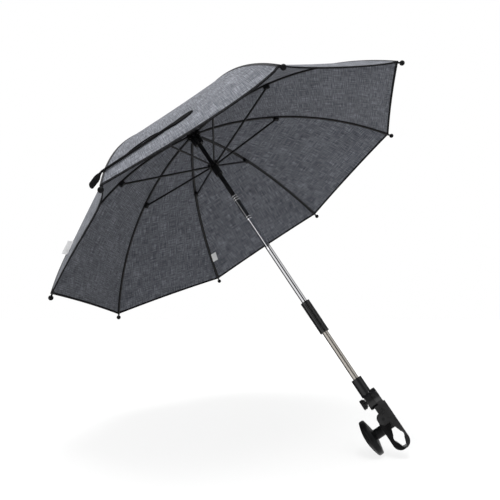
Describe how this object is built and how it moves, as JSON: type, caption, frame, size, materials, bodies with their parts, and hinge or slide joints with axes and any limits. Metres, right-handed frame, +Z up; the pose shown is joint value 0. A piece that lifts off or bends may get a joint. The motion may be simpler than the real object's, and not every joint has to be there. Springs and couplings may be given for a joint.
{
  "type": "pram parasol",
  "caption": "Clip-on pram parasol: ribbed cloth canopy that folds on a sliding runner, a bending pole with lock sleeve, and a swivelling two-jaw tube clamp.",
  "frame": {"origin": "middle of the clamp's tube seat; the pole's axis lies 5.6 mm to -X of it", "axes": "+Z up the pole to the canopy, X along the clamp screw with the knob at -X, Y along the gripped tube"},
  "size_m": [0.6548, 0.6548, 0.6605],
  "materials": {
    "black_plastic": "satin moulded",
    "steel": "zinc plated",
    "nickel": "satin nickel",
    "chrome": "polished",
    "black_metal": "black enamel",
    "webbing": "woven strap",
    "canopy_cloth": "melange plain weave"
  },
  "bodies": {
    "clamp": {"clamp_arm": "black_plastic", "jaw_pin": "steel", "clamp_stud": "steel", "swivel_nut": "steel"},
    "jaw": {"clamp_jaw": "black_plastic"},
    "washer": {"thrust_washer": "steel"},
    "knob": {"clamp_knob": "black_plastic"},
    "thumb": {"swivel_bolt": "black_plastic"},
    "lower_pole": {"swivel_socket": "black_plastic", "lower_tube": "nickel", "knuckle_lower": "black_plastic"},
    "upper_pole": {"knuckle_upper": "black_plastic", "knuckle_pin": "steel", "chrome_tube": "chrome", "canopy_shaft": "black_metal", "top_notch": "black_plastic", "top_cap": "black_plastic"},
    "sleeve": {"lock_sleeve": "black_plastic"},
    "runner": {"runner": "black_plastic"},
    "rib_body_1": {"rib_1": "black_metal", "rib_tip_1": "black_plastic", "canopy_panel_1": "canopy_cloth"},
    "stretcher_body_1": {"stretcher_1": "black_metal"},
    "rib_body_2": {"rib_2": "black_metal", "rib_tip_2": "black_plastic", "canopy_panel_2": "canopy_cloth"},
    "stretcher_body_2": {"stretcher_2": "black_metal"},
    "rib_body_3": {"rib_3": "black_metal", "rib_tip_3": "black_plastic", "canopy_panel_3": "canopy_cloth"},
    "stretcher_body_3": {"stretcher_3": "black_metal"},
    "rib_body_4": {"rib_4": "black_metal", "rib_tip_4": "black_plastic", "canopy_panel_4": "canopy_cloth"},
    "stretcher_body_4": {"stretcher_4": "black_metal"},
    "rib_body_5": {"rib_5": "black_metal", "rib_tip_5": "black_plastic", "canopy_panel_5": "canopy_cloth"},
    "stretcher_body_5": {"stretcher_5": "black_metal"},
    "rib_body_6": {"rib_6": "black_metal", "rib_tip_6": "black_plastic", "canopy_panel_6": "canopy_cloth", "tie_strap": "webbing"},
    "stretcher_body_6": {"stretcher_6": "black_metal"},
    "rib_body_7": {"rib_7": "black_metal", "rib_tip_7": "black_plastic", "canopy_panel_7": "canopy_cloth"},
    "stretcher_body_7": {"stretcher_7": "black_metal"},
    "rib_body_8": {"rib_8": "black_metal", "rib_tip_8": "black_plastic", "canopy_panel_8": "canopy_cloth"},
    "stretcher_body_8": {"stretcher_8": "black_metal"}
  },
  "joints": [
    {"name": "knob_turn", "type": "hinge", "parent": "washer", "child": "knob", "pos_m": [-0.02, 0, 0.02], "axis": [1, 0, 0], "range_deg": [0, 990]},
    {"name": "washer_slide", "type": "slide", "parent": "clamp", "child": "washer", "axis": [-1, 0, 0], "range_m": [0, 0.0102]},
    {"name": "jaw_swing", "type": "hinge", "parent": "clamp", "child": "jaw", "pos_m": [-0.0056, 0, 0.0338], "axis": [0, 1, 0], "range_deg": [0, 22]},
    {"name": "thumb_turn", "type": "hinge", "parent": "clamp", "child": "thumb", "pos_m": [-0.012, 0, 0.0665], "axis": [1, 0, 0], "range_deg": [0, 360]},
    {"name": "pole_swivel", "type": "hinge", "parent": "clamp", "child": "lower_pole", "pos_m": [-0.0056, 0, 0.0665], "axis": [1, 0, 0], "range_deg": [-80, 80]},
    {"name": "pole_tilt", "type": "hinge", "parent": "lower_pole", "child": "upper_pole", "pos_m": [-0.0056, 0, 0.1988], "axis": [0, 1, 0], "range_deg": [0, 75]},
    {"name": "sleeve_slide", "type": "slide", "parent": "upper_pole", "child": "sleeve", "axis": [0, 0, 1], "range_m": [0, 0.03]},
    {"name": "runner_slide", "type": "slide", "parent": "upper_pole", "child": "runner", "axis": [0, 0, -1], "range_m": [0, 0.23152], "deforming": ["canopy_panel_1", "canopy_panel_2", "canopy_panel_3", "canopy_panel_4", "canopy_panel_5", "canopy_panel_6", "canopy_panel_7", "canopy_panel_8", "tie_strap"]},
    {"name": "rib_hinge_1", "type": "hinge", "parent": "upper_pole", "child": "rib_body_1", "pos_m": [0.00225, 0.00325, 0.6223], "axis": [-0.3827, 0.9239, 0], "range_deg": [0, 62.6]},
    {"name": "stretcher_hinge_1", "type": "hinge", "parent": "rib_body_1", "child": "stretcher_body_1", "pos_m": [0.14314, 0.06161, 0.58605], "axis": [0.3827, -0.9239, 0], "range_deg": [0, 125.2]},
    {"name": "rib_hinge_2", "type": "hinge", "parent": "upper_pole", "child": "rib_body_2", "pos_m": [-0.00235, 0.00785, 0.6223], "axis": [-0.9239, 0.3827, 0], "range_deg": [0, 62.6]},
    {"name": "stretcher_hinge_2", "type": "hinge", "parent": "rib_body_2", "child": "stretcher_body_2", "pos_m": [0.05601, 0.14874, 0.58605], "axis": [0.9239, -0.3827, 0], "range_deg": [0, 125.2]},
    {"name": "rib_hinge_3", "type": "hinge", "parent": "upper_pole", "child": "rib_body_3", "pos_m": [-0.00885, 0.00785, 0.6223], "axis": [-0.9239, -0.3827, 0], "range_deg": [0, 62.6]},
    {"name": "stretcher_hinge_3", "type": "hinge", "parent": "rib_body_3", "child": "stretcher_body_3", "pos_m": [-0.06721, 0.14874, 0.58605], "axis": [0.9239, 0.3827, 0], "range_deg": [0, 125.2]},
    {"name": "rib_hinge_4", "type": "hinge", "parent": "upper_pole", "child": "rib_body_4", "pos_m": [-0.01345, 0.00325, 0.6223], "axis": [-0.3827, -0.9239, 0], "range_deg": [0, 62.6]},
    {"name": "stretcher_hinge_4", "type": "hinge", "parent": "rib_body_4", "child": "stretcher_body_4", "pos_m": [-0.15434, 0.06161, 0.58605], "axis": [0.3827, 0.9239, 0], "range_deg": [0, 125.2]},
    {"name": "rib_hinge_5", "type": "hinge", "parent": "upper_pole", "child": "rib_body_5", "pos_m": [-0.01345, -0.00325, 0.6223], "axis": [0.3827, -0.9239, 0], "range_deg": [0, 62.6]},
    {"name": "stretcher_hinge_5", "type": "hinge", "parent": "rib_body_5", "child": "stretcher_body_5", "pos_m": [-0.15434, -0.06161, 0.58605], "axis": [-0.3827, 0.9239, 0], "range_deg": [0, 125.2]},
    {"name": "rib_hinge_6", "type": "hinge", "parent": "upper_pole", "child": "rib_body_6", "pos_m": [-0.00885, -0.00785, 0.6223], "axis": [0.9239, -0.3827, 0], "range_deg": [0, 62.6]},
    {"name": "stretcher_hinge_6", "type": "hinge", "parent": "rib_body_6", "child": "stretcher_body_6", "pos_m": [-0.06721, -0.14874, 0.58605], "axis": [-0.9239, 0.3827, 0], "range_deg": [0, 125.2]},
    {"name": "rib_hinge_7", "type": "hinge", "parent": "upper_pole", "child": "rib_body_7", "pos_m": [-0.00235, -0.00785, 0.6223], "axis": [0.9239, 0.3827, 0], "range_deg": [0, 62.6]},
    {"name": "stretcher_hinge_7", "type": "hinge", "parent": "rib_body_7", "child": "stretcher_body_7", "pos_m": [0.05601, -0.14874, 0.58605], "axis": [-0.9239, -0.3827, 0], "range_deg": [0, 125.2]},
    {"name": "rib_hinge_8", "type": "hinge", "parent": "upper_pole", "child": "rib_body_8", "pos_m": [0.00225, -0.00325, 0.6223], "axis": [0.3827, 0.9239, 0], "range_deg": [0, 62.6]},
    {"name": "stretcher_hinge_8", "type": "hinge", "parent": "rib_body_8", "child": "stretcher_body_8", "pos_m": [0.14314, -0.06161, 0.58605], "axis": [-0.3827, -0.9239, 0], "range_deg": [0, 125.2]}
  ],
  "couplings": [
    {"joint": "washer_slide", "follows": "knob_turn", "m_per_rad": 0.00057875},
    {"joint": "jaw_swing", "follows": "knob_turn", "ratio": 0.022222},
    {"joint": "sleeve_slide", "follows": "pole_tilt", "m_per_rad": 0.022918},
    {"joint": "rib_hinge_1", "follows": "runner_slide", "rad_per_m": 4.7117},
    {"joint": "stretcher_hinge_1", "follows": "runner_slide", "rad_per_m": 9.4234},
    {"joint": "rib_hinge_2", "follows": "runner_slide", "rad_per_m": 4.7117},
    {"joint": "stretcher_hinge_2", "follows": "runner_slide", "rad_per_m": 9.4234},
    {"joint": "rib_hinge_3", "follows": "runner_slide", "rad_per_m": 4.7117},
    {"joint": "stretcher_hinge_3", "follows": "runner_slide", "rad_per_m": 9.4234},
    {"joint": "rib_hinge_4", "follows": "runner_slide", "rad_per_m": 4.7117},
    {"joint": "stretcher_hinge_4", "follows": "runner_slide", "rad_per_m": 9.4234},
    {"joint": "rib_hinge_5", "follows": "runner_slide", "rad_per_m": 4.7117},
    {"joint": "stretcher_hinge_5", "follows": "runner_slide", "rad_per_m": 9.4234},
    {"joint": "rib_hinge_6", "follows": "runner_slide", "rad_per_m": 4.7117},
    {"joint": "stretcher_hinge_6", "follows": "runner_slide", "rad_per_m": 9.4234},
    {"joint": "rib_hinge_7", "follows": "runner_slide", "rad_per_m": 4.7117},
    {"joint": "stretcher_hinge_7", "follows": "runner_slide", "rad_per_m": 9.4234},
    {"joint": "rib_hinge_8", "follows": "runner_slide", "rad_per_m": 4.7117},
    {"joint": "stretcher_hinge_8", "follows": "runner_slide", "rad_per_m": 9.4234}
  ]
}
